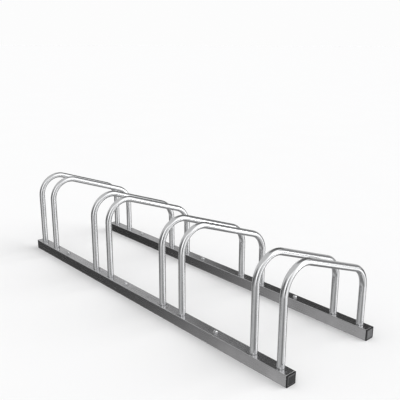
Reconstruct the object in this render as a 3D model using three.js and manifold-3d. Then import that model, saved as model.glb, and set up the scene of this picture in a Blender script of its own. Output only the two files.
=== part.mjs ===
// A floor rack with four slots, in millimetres, with +Z up.
//
// Two square rails lie on the floor. Eight bent tubes, the hoops, stand on them in pairs, with a slot
// between the two hoops of each pair. A hoop's front leg is tall, its top bar falls to the rear, and its
// rear leg is short. Each leg passes through the top wall of a rail, stands on a threaded foot, and is
// held down by a countersunk screw through the bottom wall. Plugs close the rails, and three hexagon
// screws in each rail fix the rack to the floor.
//
// X runs along the rails, -Y is the front, and Z = 0 is the floor. The origin is on the floor at the
// middle of the rack.

import * as THREE from "three";
import { mergeVertices } from "three/addons/utils/BufferGeometryUtils.js";
import Module from "manifold-3d";

const wasm = await Module();
wasm.setup();

// Driving dimensions: the rails.
const RAIL_SIZE = 30;
const RAIL_WALL = 1.5;
const RAIL_CORNER_RADIUS = 1.8;
const RAIL_SPACING = 300; // between the centre planes of the two rails
const RAIL_OVERHANG = 28; // from the last leg's centre to the end of the rail

// Driving dimensions: the hoops and the slots between them.
const TUBE_DIAMETER = 18;
const TUBE_WALL = 1.2;
const HOOP_HEIGHT = 267; // from the floor to the highest point of the tube
const TOP_BAR_SLOPE = 19.6; // degrees, falling to the rear
const BEND_RADIUS = 62; // of the tube's centre line, the same for both bends
const SLOT_COUNT = 4;
const SLOT_WIDTH = 62; // clear width between the two hoops of a pair
const SLOT_PITCH = 332; // from one slot's centre to the next

// Driving dimensions: the threaded feet in the legs and the screws that hold them.
const FOOT_LENGTH = 14;
const FOOT_RIM_THICKNESS = 1.5;
const LEG_SCREW_DIAMETER = 6;
const LEG_SCREW_HEAD_DIAMETER = 12;
const LEG_SCREW_LENGTH = 14; // of the whole screw, its head included
const LEG_SCREW_RECESS = 0.2; // of the head below the rail's underside

// Driving dimensions: the plugs in the ends of the rails.
const CAP_FLANGE_THICKNESS = 2;
const CAP_BORDER = 3.5; // the flat frame round the raised panel
const CAP_PANEL_RISE = 1;
const CAP_PANEL_CORNER_RADIUS = 1.5;
const CAP_PLUG_LENGTH = 14;
const CAP_PLUG_WALL = 1.8;
const CAP_RIB_COUNT = 3;
const CAP_RIB_HEIGHT = 1;
const CAP_RIB_THICKNESS = 1.2;
const CAP_RIB_INSET = 0.6; // from the sleeve's end to the first rib
const CAP_PANEL_ROOT = 0.5; // of the panel's straight sides, sunk in the flange

// Driving dimensions: the screws that fix the rails to the floor, and their washers.
const FLOOR_SCREW_DIAMETER = 6;
const FLOOR_SCREW_TIP = 6; // length of the point
const FLOOR_SCREW_OFFSET = 80; // from the last leg of a pair to the screw beside it
const HEX_ACROSS_FLATS = 10;
const HEX_HEIGHT = 4;
const WASHER_DIAMETER = 12;
const WASHER_THICKNESS = 1.6;

// Clearances and the fineness of the round faces.
const SEAT_GAP = 0.3; // between pieces that touch
const HOLE_CLEARANCE = 0.3; // round what passes through a hole
const WELD = 1e-4; // vertices closer than this are one
const TUBE_SIDES = 16;
const BORE_SIDES = 8;
const BEND_STEP = 15; // largest turn, in degrees, between two sections of a bend
const LEG_HOLE_SIDES = 16;
const FASTENER_SIDES = 8;
const WASHER_SIDES = 12;
const CORNER_SEGMENTS = 3; // of a round corner
const CHAMFER_SEGMENTS = 1; // of a corner cut off straight

// Sizes that follow from the ones above.
const TUBE_RADIUS = TUBE_DIAMETER / 2;
const TUBE_BORE_RADIUS = TUBE_RADIUS - TUBE_WALL;
const RAIL_BORE = RAIL_SIZE - 2 * RAIL_WALL;
const PAIR_SPACING = SLOT_WIDTH + TUBE_DIAMETER;
const RAIL_LENGTH = (SLOT_COUNT - 1) * SLOT_PITCH + PAIR_SPACING + 2 * RAIL_OVERHANG;
const FOOT_BASE_Z = RAIL_WALL + SEAT_GAP;
const LEG_BASE_Z = FOOT_BASE_Z + FOOT_RIM_THICKNESS + SEAT_GAP;
const LEG_SCREW_RADIUS = LEG_SCREW_DIAMETER / 2;
const LEG_SCREW_HEAD_RADIUS = LEG_SCREW_HEAD_DIAMETER / 2;
const LEG_SCREW_HEAD_HEIGHT = LEG_SCREW_HEAD_RADIUS - LEG_SCREW_RADIUS; // a cone of 90 degrees
const CONE_CLEARANCE = HOLE_CLEARANCE * Math.SQRT2; // sideways, for HOLE_CLEARANCE across the cone
const FLOOR_SCREW_RADIUS = FLOOR_SCREW_DIAMETER / 2;
const WASHER_BASE_Z = RAIL_SIZE + SEAT_GAP;
const HEX_BASE_Z = WASHER_BASE_Z + WASHER_THICKNESS + SEAT_GAP;
const CUT_REACH = RAIL_WALL; // how far a cut goes on past the wall that it opens

const BRIGHT_ZINC = new THREE.MeshStandardMaterial({ color: 0xd4d6d8, roughness: 0.28, metalness: 1 });
const RAIL_ZINC = new THREE.MeshStandardMaterial({ color: 0xa9abad, roughness: 0.35, metalness: 1 });
const SCREW_ZINC = new THREE.MeshStandardMaterial({ color: 0xc9ccd0, roughness: 0.3, metalness: 1 });
const BLACK_PLASTIC = new THREE.MeshStandardMaterial({ color: 0x1b1b1d, roughness: 0.42, metalness: 0 });

// Turns a shape drawn in X and Y and extruded along Z, so that it lies in Y and Z and runs along X.
const ALONG_X = new THREE.Matrix4().makeBasis(
  new THREE.Vector3(0, 1, 0),
  new THREE.Vector3(0, 0, 1),
  new THREE.Vector3(1, 0, 0),
);

// ---------------------------------------------------------------- places along the rack

// The centre of a slot.
function slotX(slot) {
  return (slot - (SLOT_COUNT - 1) / 2) * SLOT_PITCH;
}

// The centre planes of the hoops, from left to right.
function hoopXs() {
  const places = [];
  for (let slot = 0; slot < SLOT_COUNT; slot++) {
    places.push(slotX(slot) - PAIR_SPACING / 2);
    places.push(slotX(slot) + PAIR_SPACING / 2);
  }
  return places;
}

// The floor screws: one between each two pairs, near the left pair, and the last one midway.
function floorScrewXs() {
  const places = [];
  for (let slot = 0; slot < SLOT_COUNT - 1; slot++) {
    const last = slot === SLOT_COUNT - 2;
    const beside = slotX(slot) + PAIR_SPACING / 2 + FLOOR_SCREW_OFFSET;
    const midway = (slotX(slot) + slotX(slot + 1)) / 2;
    places.push(last ? midway : beside);
  }
  return places;
}

// ---------------------------------------------------------------- joining and cutting

// A closed geometry as a solid that can be joined and cut.
function toSolid(geometry) {
  const bare = geometry.clone();
  bare.deleteAttribute("normal");
  bare.deleteAttribute("uv");
  const welded = mergeVertices(bare, WELD);
  const vertProperties = new Float32Array(welded.getAttribute("position").array);
  const triVerts = new Uint32Array(welded.getIndex().array);
  return new wasm.Manifold(new wasm.Mesh({ numProp: 3, vertProperties, triVerts }));
}

// A solid as a geometry again.
function toGeometry(solid) {
  const { vertProperties, triVerts, numProp } = solid.getMesh();
  const geometry = new THREE.BufferGeometry();
  geometry.setAttribute("position", new THREE.BufferAttribute(vertProperties, numProp));
  geometry.setIndex(new THREE.BufferAttribute(triVerts, 1));
  geometry.computeVertexNormals();
  return geometry;
}

// ---------------------------------------------------------------- outlines

// A square with round or cut corners, centred on the origin, as a list of points.
function roundedSquare(side, radius, segments = CORNER_SEGMENTS) {
  const points = [];
  const reach = side / 2 - radius;
  for (let corner = 0; corner < 4; corner++) {
    const start = (corner * Math.PI) / 2;
    const x = reach * Math.SQRT2 * Math.cos(start + Math.PI / 4);
    const y = reach * Math.SQRT2 * Math.sin(start + Math.PI / 4);
    for (let step = 0; step <= segments; step++) {
      const angle = start + (step / segments) * (Math.PI / 2);
      points.push(new THREE.Vector2(x + radius * Math.cos(angle), y + radius * Math.sin(angle)));
    }
  }
  return points;
}

// A round outline whose corners lie on the circle.
function circleInside(radius, sides) {
  const points = [];
  for (let side = 0; side < sides; side++) {
    const angle = (side / sides) * 2 * Math.PI;
    points.push(new THREE.Vector2(radius * Math.cos(angle), radius * Math.sin(angle)));
  }
  return points;
}

// A round outline whose flats touch the circle, so that what fits the circle fits the outline.
function circleOutside(radius, sides) {
  return circleInside(radius / Math.cos(Math.PI / sides), sides);
}

// A shape from an outline, with a hole in it where a second outline is given.
function shapeOf(outline, hole) {
  const shape = new THREE.Shape(outline);
  if (hole) {
    shape.holes.push(new THREE.Path(hole));
  }
  return shape;
}

// A shape extruded along X, from one X to another.
function extrudeAlongX(shape, fromX, toX) {
  const geometry = new THREE.ExtrudeGeometry(shape, { depth: toX - fromX, bevelEnabled: false });
  return geometry.applyMatrix4(ALONG_X).translate(fromX, 0, 0);
}

// A profile of radius and height turned about Z.
function turned(profile, sides) {
  const points = profile.map(([radius, z]) => new THREE.Vector2(radius, z));
  return new THREE.LatheGeometry(points, sides).rotateX(Math.PI / 2);
}

// A round bar or hole along Z.
function upright(radius, fromZ, toZ, sides) {
  const bar = new THREE.CylinderGeometry(radius, radius, toZ - fromZ, sides);
  return bar.rotateX(Math.PI / 2).translate(0, 0, (fromZ + toZ) / 2);
}

// ---------------------------------------------------------------- hoops

// The centre line of a hoop, from the front foot to the rear foot, with sections only where they are
// needed: at the ends of the straights and every few degrees round the bends.
class HoopLine extends THREE.Curve {
  constructor() {
    super();
    this.stops = [];
    const frontY = -RAIL_SPACING / 2;
    const rearY = RAIL_SPACING / 2;
    const frontBend = { y: frontY + BEND_RADIUS, z: HOOP_HEIGHT - TUBE_RADIUS - BEND_RADIUS };
    const rearBendY = rearY - BEND_RADIUS;
    const fall = (rearBendY - frontBend.y) * Math.tan(THREE.MathUtils.degToRad(TOP_BAR_SLOPE));
    const rearBend = { y: rearBendY, z: frontBend.z - fall };
    this.addStop(frontY, LEG_BASE_Z, 90);
    this.addBend(frontBend, 90, 0);
    this.addBend(frontBend, 0, -TOP_BAR_SLOPE);
    this.addBend(rearBend, -TOP_BAR_SLOPE, -90);
    this.addStop(rearY, LEG_BASE_Z, -90);
  }

  // One section: its place, and its heading in degrees above the +Y direction. A section where the last
  // one already is adds nothing.
  addStop(y, z, heading) {
    const point = new THREE.Vector3(0, y, z);
    const last = this.stops.at(-1);
    if (last && last.point.distanceTo(point) < WELD) {
      return;
    }
    const angle = THREE.MathUtils.degToRad(heading);
    this.stops.push({ point, tangent: new THREE.Vector3(0, Math.cos(angle), Math.sin(angle)) });
  }

  // The sections of a bend between two headings.
  addBend(centre, fromHeading, toHeading) {
    const steps = Math.max(1, Math.ceil(Math.abs(fromHeading - toHeading) / BEND_STEP));
    for (let step = 0; step <= steps; step++) {
      const heading = THREE.MathUtils.lerp(fromHeading, toHeading, step / steps);
      const angle = THREE.MathUtils.degToRad(heading);
      const y = centre.y - BEND_RADIUS * Math.sin(angle);
      const z = centre.z + BEND_RADIUS * Math.cos(angle);
      this.addStop(y, z, heading);
    }
  }

  // The section at a share of the way from the first to the last.
  stopAt(share) {
    return this.stops[Math.round(share * (this.stops.length - 1))];
  }

  getPointAt(share) {
    return this.stopAt(share).point.clone();
  }

  getTangentAt(share) {
    return this.stopAt(share).tangent.clone();
  }
}

// A bent tube, open at both feet.
function hoopGeometry() {
  const line = new HoopLine();
  const wall = shapeOf(circleInside(TUBE_RADIUS, TUBE_SIDES), circleOutside(TUBE_BORE_RADIUS, BORE_SIDES));
  const steps = line.stops.length - 1;
  return new THREE.ExtrudeGeometry(wall, { steps, extrudePath: line, bevelEnabled: false });
}

// ---------------------------------------------------------------- threaded feet and leg screws

// The radius of the leg screw's head and shank at a height above the floor.
function legScrewRadiusAt(z) {
  return Math.max(LEG_SCREW_HEAD_RADIUS - (z - LEG_SCREW_RECESS), LEG_SCREW_RADIUS);
}

// A threaded foot: a rim under the leg's end, a body up its bore, and a mouth that clears the screw.
function footGeometry() {
  const rimTop = FOOT_BASE_Z + FOOT_RIM_THICKNESS;
  const top = FOOT_BASE_Z + FOOT_LENGTH;
  const body = TUBE_BORE_RADIUS - SEAT_GAP;
  const bore = (LEG_SCREW_RADIUS + HOLE_CLEARANCE) / Math.cos(Math.PI / FASTENER_SIDES);
  const mouth = (legScrewRadiusAt(FOOT_BASE_Z) + CONE_CLEARANCE) / Math.cos(Math.PI / FASTENER_SIDES);
  const mouthTop = FOOT_BASE_Z + (mouth - bore);
  return turned(
    [
      [mouth, FOOT_BASE_Z],
      [TUBE_RADIUS, FOOT_BASE_Z],
      [TUBE_RADIUS, rimTop],
      [body, rimTop],
      [body, top],
      [bore, top],
      [bore, mouthTop],
      [mouth, FOOT_BASE_Z],
    ],
    FASTENER_SIDES,
  );
}

// A countersunk screw, head down, its flat face just inside the rail's underside.
function legScrewGeometry() {
  const headTop = LEG_SCREW_RECESS + LEG_SCREW_HEAD_HEIGHT;
  const top = LEG_SCREW_RECESS + LEG_SCREW_LENGTH;
  return turned(
    [
      [0, LEG_SCREW_RECESS],
      [LEG_SCREW_HEAD_RADIUS, LEG_SCREW_RECESS],
      [LEG_SCREW_RADIUS, headTop],
      [LEG_SCREW_RADIUS, top],
      [0, top],
    ],
    FASTENER_SIDES,
  );
}

// The countersunk hole for a leg screw in the rail's bottom wall.
function legScrewHole() {
  const bottom = -CUT_REACH;
  const top = RAIL_WALL + CUT_REACH;
  const radiusAt = (z) => (legScrewRadiusAt(z) + CONE_CLEARANCE) / Math.cos(Math.PI / FASTENER_SIDES);
  return turned(
    [
      [0, bottom],
      [radiusAt(bottom), bottom],
      [radiusAt(top), top],
      [0, top],
    ],
    FASTENER_SIDES,
  );
}

// ---------------------------------------------------------------- rails

// A square tube with round holes for the legs, countersunk ones under them, and holes right through for
// the floor screws.
function railGeometry() {
  const outline = roundedSquare(RAIL_SIZE, RAIL_CORNER_RADIUS);
  const bore = roundedSquare(RAIL_BORE, RAIL_CORNER_RADIUS - RAIL_WALL);
  const tube = extrudeAlongX(shapeOf(outline, bore), -RAIL_LENGTH / 2, RAIL_LENGTH / 2);
  let rail = toSolid(tube.translate(0, 0, RAIL_SIZE / 2));
  const legHoleRadius = (TUBE_RADIUS + HOLE_CLEARANCE) / Math.cos(Math.PI / LEG_HOLE_SIDES);
  const topWallZ = RAIL_SIZE - RAIL_WALL;
  const legHole = upright(legHoleRadius, topWallZ - CUT_REACH, RAIL_SIZE + CUT_REACH, LEG_HOLE_SIDES);
  for (const x of hoopXs()) {
    rail = rail.subtract(toSolid(legHole.clone().translate(x, 0, 0)));
    rail = rail.subtract(toSolid(legScrewHole().translate(x, 0, 0)));
  }
  const floorHoleRadius = (FLOOR_SCREW_RADIUS + HOLE_CLEARANCE) / Math.cos(Math.PI / FASTENER_SIDES);
  const floorHole = upright(floorHoleRadius, -CUT_REACH, RAIL_SIZE + CUT_REACH, FASTENER_SIDES);
  for (const x of floorScrewXs()) {
    rail = rail.subtract(toSolid(floorHole.clone().translate(x, 0, 0)));
  }
  return toGeometry(rail);
}

// ---------------------------------------------------------------- end caps

// A square plug for the end of a rail that faces +X, with X = 0 at the rail's end face: a flange with a
// raised, bevelled panel outside, and a hollow ribbed sleeve inside the rail.
function endCapGeometry() {
  const flangeOutline = roundedSquare(RAIL_SIZE, RAIL_CORNER_RADIUS);
  const flangeFace = SEAT_GAP + CAP_FLANGE_THICKNESS;
  let cap = toSolid(extrudeAlongX(shapeOf(flangeOutline), SEAT_GAP, flangeFace));
  cap = cap.add(toSolid(capPanel().translate(flangeFace, 0, 0)));

  const ribSide = RAIL_BORE - 2 * SEAT_GAP;
  const sleeveSide = ribSide - 2 * CAP_RIB_HEIGHT;
  const sleeveBore = roundedSquare(sleeveSide - 2 * CAP_PLUG_WALL, CAP_RIB_HEIGHT, CHAMFER_SEGMENTS);
  const sleeve = shapeOf(roundedSquare(sleeveSide, CAP_RIB_HEIGHT, CHAMFER_SEGMENTS), sleeveBore);
  cap = cap.add(toSolid(extrudeAlongX(sleeve, -CAP_PLUG_LENGTH, SEAT_GAP + CAP_FLANGE_THICKNESS / 2)));

  const rib = shapeOf(roundedSquare(ribSide, CAP_RIB_HEIGHT, CHAMFER_SEGMENTS), sleeveBore);
  const ribPitch = CAP_PLUG_LENGTH / CAP_RIB_COUNT;
  for (let index = 0; index < CAP_RIB_COUNT; index++) {
    const ribStart = -CAP_PLUG_LENGTH + CAP_RIB_INSET + index * ribPitch;
    cap = cap.add(toSolid(extrudeAlongX(rib, ribStart, ribStart + CAP_RIB_THICKNESS)));
  }
  return toGeometry(cap).translate(0, 0, RAIL_SIZE / 2);
}

// The raised panel of a cap. Its rear bevel is buried in the flange.
function capPanel() {
  const side = RAIL_SIZE - 2 * CAP_BORDER - 2 * CAP_PANEL_RISE;
  const outline = roundedSquare(side, CAP_PANEL_CORNER_RADIUS);
  const panel = new THREE.ExtrudeGeometry(shapeOf(outline), {
    depth: CAP_PANEL_ROOT,
    bevelThickness: CAP_PANEL_RISE,
    bevelSize: CAP_PANEL_RISE,
    bevelSegments: 1,
  });
  return panel.applyMatrix4(ALONG_X).translate(-CAP_PANEL_ROOT, 0, 0);
}

// ---------------------------------------------------------------- floor screws and washers

// A hexagon screw that passes right through the rail, its point at the rail's underside.
function floorScrewGeometry() {
  const hexRadius = HEX_ACROSS_FLATS / 2 / Math.cos(Math.PI / 6);
  const head = toSolid(upright(hexRadius, HEX_BASE_Z, HEX_BASE_Z + HEX_HEIGHT, 6));
  const shank = turned(
    [
      [0, SEAT_GAP],
      [FLOOR_SCREW_RADIUS, SEAT_GAP + FLOOR_SCREW_TIP],
      [FLOOR_SCREW_RADIUS, HEX_BASE_Z + HEX_HEIGHT / 2],
      [0, HEX_BASE_Z + HEX_HEIGHT / 2],
    ],
    FASTENER_SIDES,
  );
  return toGeometry(head.add(toSolid(shank)));
}

// A flat washer on the rail's top wall.
function washerGeometry() {
  const hole = (FLOOR_SCREW_RADIUS + HOLE_CLEARANCE) / Math.cos(Math.PI / WASHER_SIDES);
  const rim = WASHER_DIAMETER / 2;
  const top = WASHER_BASE_Z + WASHER_THICKNESS;
  return turned(
    [
      [hole, WASHER_BASE_Z],
      [rim, WASHER_BASE_Z],
      [rim, top],
      [hole, top],
      [hole, WASHER_BASE_Z],
    ],
    WASHER_SIDES,
  );
}

// ---------------------------------------------------------------- the rack

// One named piece.
function piece(name, geometry, material, x, y) {
  const mesh = new THREE.Mesh(geometry, material);
  mesh.name = name;
  mesh.position.set(x, y, 0);
  return mesh;
}

// A rail with what belongs to it: caps, feet, leg screws, floor screws and washers.
function railGroup(side, y) {
  const group = new THREE.Group();
  group.add(piece(`${side}_rail`, railGeometry(), RAIL_ZINC, 0, y));

  const cap = endCapGeometry();
  const rightCap = piece(`${side}_right_end_cap`, cap, BLACK_PLASTIC, RAIL_LENGTH / 2, y);
  const leftCap = piece(`${side}_left_end_cap`, cap, BLACK_PLASTIC, -RAIL_LENGTH / 2, y);
  leftCap.rotation.z = Math.PI;
  group.add(rightCap, leftCap);

  const foot = footGeometry();
  const legScrew = legScrewGeometry();
  hoopXs().forEach((x, index) => {
    group.add(piece(`${side}_foot_insert_${index + 1}`, foot, SCREW_ZINC, x, y));
    group.add(piece(`${side}_leg_screw_${index + 1}`, legScrew, SCREW_ZINC, x, y));
  });

  const floorScrew = floorScrewGeometry();
  const washer = washerGeometry();
  floorScrewXs().forEach((x, index) => {
    group.add(piece(`${side}_floor_screw_${index + 1}`, floorScrew, SCREW_ZINC, x, y));
    group.add(piece(`${side}_floor_washer_${index + 1}`, washer, SCREW_ZINC, x, y));
  });
  return group;
}

// The hoops, from left to right.
function hoopGroup() {
  const group = new THREE.Group();
  const hoop = hoopGeometry();
  hoopXs().forEach((x, index) => {
    group.add(piece(`hoop_${index + 1}`, hoop, BRIGHT_ZINC, x, 0));
  });
  return group;
}

const rack = new THREE.Group();
rack.add(railGroup("front", -RAIL_SPACING / 2));
rack.add(railGroup("rear", RAIL_SPACING / 2));
rack.add(hoopGroup());

export default rack;
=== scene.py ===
"""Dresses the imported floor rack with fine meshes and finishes, and sets it in a pale studio.

Two square rails lie on the floor, and eight bent tubes, the hoops, stand on them in four pairs. Every
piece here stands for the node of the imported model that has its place, and takes its size and place from
that node's box. Lengths are in metres. +X runs along the rails, -Y is the front, and Z = 0 is the
floor.
"""

import logging
from abc import ABC, abstractmethod
from collections.abc import Iterator, Sequence
from dataclasses import dataclass, field
from enum import Enum, IntEnum
from functools import cache
from math import ceil, cos, pi, radians, sin, sqrt, tan

import bmesh
import bpy
from mathutils import Matrix, Vector


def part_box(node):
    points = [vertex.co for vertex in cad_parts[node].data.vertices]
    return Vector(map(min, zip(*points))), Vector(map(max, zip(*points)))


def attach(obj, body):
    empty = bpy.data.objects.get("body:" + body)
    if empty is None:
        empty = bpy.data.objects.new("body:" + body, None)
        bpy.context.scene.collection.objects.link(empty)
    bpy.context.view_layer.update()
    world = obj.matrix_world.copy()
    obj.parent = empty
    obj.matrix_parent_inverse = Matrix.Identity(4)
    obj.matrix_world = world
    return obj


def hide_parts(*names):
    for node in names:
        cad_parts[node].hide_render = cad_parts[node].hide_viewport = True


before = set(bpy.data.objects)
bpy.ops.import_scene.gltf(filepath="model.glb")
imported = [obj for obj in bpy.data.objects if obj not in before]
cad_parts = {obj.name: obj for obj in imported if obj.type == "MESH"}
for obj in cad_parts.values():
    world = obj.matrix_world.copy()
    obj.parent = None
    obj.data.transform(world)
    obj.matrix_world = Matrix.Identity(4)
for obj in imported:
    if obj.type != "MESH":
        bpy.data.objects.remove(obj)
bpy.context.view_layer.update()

log = logging.getLogger("floor_rack")

MM = 0.001
BODY = "root"
SHARP_ANGLE = radians(32)
FLAT_FACE_WEIGHT = 100
HEAD_TURN_DEGREES = 17

Ring = list[Vector]
Span = tuple[float, float]
Colour = tuple[float, float, float]


class Row(Enum):
    """The two rails."""

    FRONT = "front"
    REAR = "rear"


class End(Enum):
    """The two ends of a rail. The value is the direction along X in which the end faces."""

    LEFT = -1
    RIGHT = 1


class PlugPart(IntEnum):
    """The parts of a plug that differ in finish. The value is the finish's number in the mesh."""

    FLANGE = 0
    BEVEL = 1
    PANEL = 2


# ---- shader nodes


class Signal:
    """A number that runs through a shader: a socket, with arithmetic that adds Math nodes."""

    def __init__(self, bench: "NodeBench", socket: bpy.types.NodeSocket) -> None:
        """Keeps an output socket that gives a number, and the bench of its tree."""
        self.bench = bench
        self.socket = socket

    def math(self, operation: str, *others: "Signal | float") -> "Signal":
        """The result of a Math node with self in its first socket and the others after it."""
        return self.bench.math(operation, self, *others)

    def __add__(self, other: "Signal | float") -> "Signal":
        """self + other."""
        return self.bench.math("ADD", self, other)

    def __radd__(self, other: float) -> "Signal":
        """other + self."""
        return self.bench.math("ADD", other, self)

    def __sub__(self, other: "Signal | float") -> "Signal":
        """self - other."""
        return self.bench.math("SUBTRACT", self, other)

    def __rsub__(self, other: float) -> "Signal":
        """other - self."""
        return self.bench.math("SUBTRACT", other, self)

    def __mul__(self, other: "Signal | float") -> "Signal":
        """self * other."""
        return self.bench.math("MULTIPLY", self, other)

    def __rmul__(self, other: float) -> "Signal":
        """other * self."""
        return self.bench.math("MULTIPLY", other, self)

    def __truediv__(self, other: "Signal | float") -> "Signal":
        """self / other."""
        return self.bench.math("DIVIDE", self, other)

    def __rtruediv__(self, other: float) -> "Signal":
        """other / self."""
        return self.bench.math("DIVIDE", other, self)

    def __abs__(self) -> "Signal":
        """The size of self without its sign."""
        return self.bench.math("ABSOLUTE", self)

    def ramp(self, start: float, end: float) -> "Signal":
        """A smooth step.

        Args:
            start: The value at which the result is 0.
            end: The value at which the result is 1. It may be the smaller of the two.

        Returns:
            A number from 0 to 1.
        """
        low, high = min(start, end), max(start, end)
        first, last = (0.0, 1.0) if start < end else (1.0, 0.0)
        sockets = {"Value": self, "From Min": low, "From Max": high, "To Min": first, "To Max": last}
        step = self.bench.node("ShaderNodeMapRange", {"interpolation_type": "SMOOTHSTEP"}, sockets)
        return Signal(self.bench, step.outputs["Result"])


class NodeBench:
    """A node tree, and the one method that adds a node to it."""

    MIX_COLOURS = (6, 7)
    MIX_RESULT = 2

    def __init__(self, tree: bpy.types.NodeTree) -> None:
        """Empties the tree of a material or of the world, and keeps it."""
        self.tree = tree
        tree.nodes.clear()

    def node(
        self,
        kind: str,
        settings: dict[str, object] | None = None,
        sockets: dict[str | int, object] | None = None,
    ) -> bpy.types.Node:
        """Adds a node.

        Args:
            kind: The node's type.
            settings: What is set on the node itself, before its sockets.
            sockets: For each input, by name or number, a value, a Signal or a socket to link.

        Returns:
            The new node.
        """
        made = self.tree.nodes.new(kind)
        for key, value in (settings or {}).items():
            setattr(made, key, value)
        for key, value in (sockets or {}).items():
            if isinstance(value, Signal):
                value = value.socket
            if isinstance(value, bpy.types.NodeSocket):
                self.tree.links.new(value, made.inputs[key])
            else:
                made.inputs[key].default_value = value
        return made

    def math(self, operation: str, *values: Signal | float) -> Signal:
        """The result of a Math node with these values in its sockets, in order."""
        made = self.node("ShaderNodeMath", {"operation": operation}, dict(enumerate(values)))
        return Signal(self, made.outputs["Value"])

    def places(self) -> bpy.types.NodeSocket:
        """The place of each point on the rack, in metres."""
        return self.node("ShaderNodeTexCoord").outputs["Object"]

    def axes(self, vector: bpy.types.NodeSocket) -> tuple[Signal, Signal, Signal]:
        """Splits a vector.

        Args:
            vector: A socket that gives a vector.

        Returns:
            Its X, Y and Z, as three numbers.
        """
        split = self.node("ShaderNodeSeparateXYZ", sockets={"Vector": vector})
        x, y, z = (Signal(self, split.outputs[axis]) for axis in "XYZ")
        return x, y, z

    def stretched(self, vector: bpy.types.NodeSocket, scale: Colour) -> bpy.types.NodeSocket:
        """A vector multiplied axis by axis."""
        made = self.node("ShaderNodeVectorMath", {"operation": "MULTIPLY"}, {0: vector, 1: scale})
        return made.outputs["Vector"]

    def noise(self, where: bpy.types.NodeSocket, scale: float, detail: float = 2.0) -> Signal:
        """Noise from 0 to 1, with scale lumps to a metre and detail finer layers."""
        sockets = {"Vector": where, "Scale": scale, "Detail": detail}
        return Signal(self, self.node("ShaderNodeTexNoise", sockets=sockets).outputs["Fac"])

    def blend(self, share: Signal, first: object, second: object) -> bpy.types.NodeSocket:
        """A mix of two colours.

        Args:
            share: 0 gives the first colour and 1 the second.
            first: A colour, or a socket that gives one.
            second: A colour, or a socket that gives one.

        Returns:
            The mixed colour.
        """
        colours = {key: (*value, 1.0) if isinstance(value, tuple) else value
                   for key, value in zip(self.MIX_COLOURS, (first, second))}
        made = self.node("ShaderNodeMix", {"data_type": "RGBA"}, {0: share, **colours})
        return made.outputs[self.MIX_RESULT]

    def relief(self, height: Signal, depth: float) -> bpy.types.NodeSocket:
        """The normal that a relief gives. A height of 1 is a real depth in metres."""
        sockets = {"Strength": 1.0, "Distance": depth, "Height": height}
        return self.node("ShaderNodeBump", sockets=sockets).outputs["Normal"]

    def surface(self, sockets: dict[str, object]) -> None:
        """Ends a material in a Principled shader with these sockets."""
        shader = self.node("ShaderNodeBsdfPrincipled", sockets=sockets)
        self.node("ShaderNodeOutputMaterial", sockets={"Surface": shader.outputs["BSDF"]})


# ---- finishes


@dataclass(frozen=True)
class Finish(ABC):
    """A surface finish, and the material slot that it belongs to."""

    name: str
    slot: str

    @abstractmethod
    def lay(self, bench: NodeBench) -> None:
        """Adds the finish's nodes."""


@cache
def material_of(finish: Finish) -> bpy.types.Material:
    """The material of a finish, made once.

    Args:
        finish: The finish.

    Returns:
        Its material.
    """
    material = bpy.data.materials.new(finish.name)
    material.use_nodes = True
    finish.lay(NodeBench(material.node_tree))
    return material


@dataclass(frozen=True)
class HoopZinc(Finish):
    """Bright zinc on the bent tubes: nearly a mirror, clouded a little, duller just above the rails.

    In every finish, a tint is a share in the colour's mottle, and a blur is a share in the roughness.
    """

    name: str = "bright_hoop_zinc"
    slot: str = "bright_zinc"
    light: Colour = (0.90, 0.905, 0.915)
    deep: Colour = (0.80, 0.81, 0.825)
    roughness: float = 0.13
    cloud_scale: float = 38.0
    grain_scale: float = 900.0
    grain_depth: float = 0.004 * MM
    dull_heights: Span = (31 * MM, 44 * MM)
    mottle: Span = (0.15, 0.95)
    cloud_tint: float = 0.8
    dull_tint: float = 0.4
    cloud_blur: float = 0.05
    grain_blur: float = 0.03
    dull_blur: float = 0.08

    def lay(self, bench: NodeBench) -> None:
        """Adds the finish's nodes.

        Args:
            bench: The bench of the material's node tree.
        """
        places = bench.places()
        _, _, height = bench.axes(places)
        cloud = bench.noise(places, self.cloud_scale, detail=3.0)
        grain = bench.noise(places, self.grain_scale)
        dull = height.ramp(self.dull_heights[1], self.dull_heights[0])
        tint = (cloud * self.cloud_tint + dull * self.dull_tint).ramp(*self.mottle)
        blurred = self.roughness + cloud * self.cloud_blur + grain * self.grain_blur
        bench.surface({
            "Metallic": 1.0,
            "Base Color": bench.blend(tint, self.light, self.deep),
            "Roughness": blurred + dull * self.dull_blur,
            "Normal": bench.relief(grain, self.grain_depth),
        })


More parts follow.
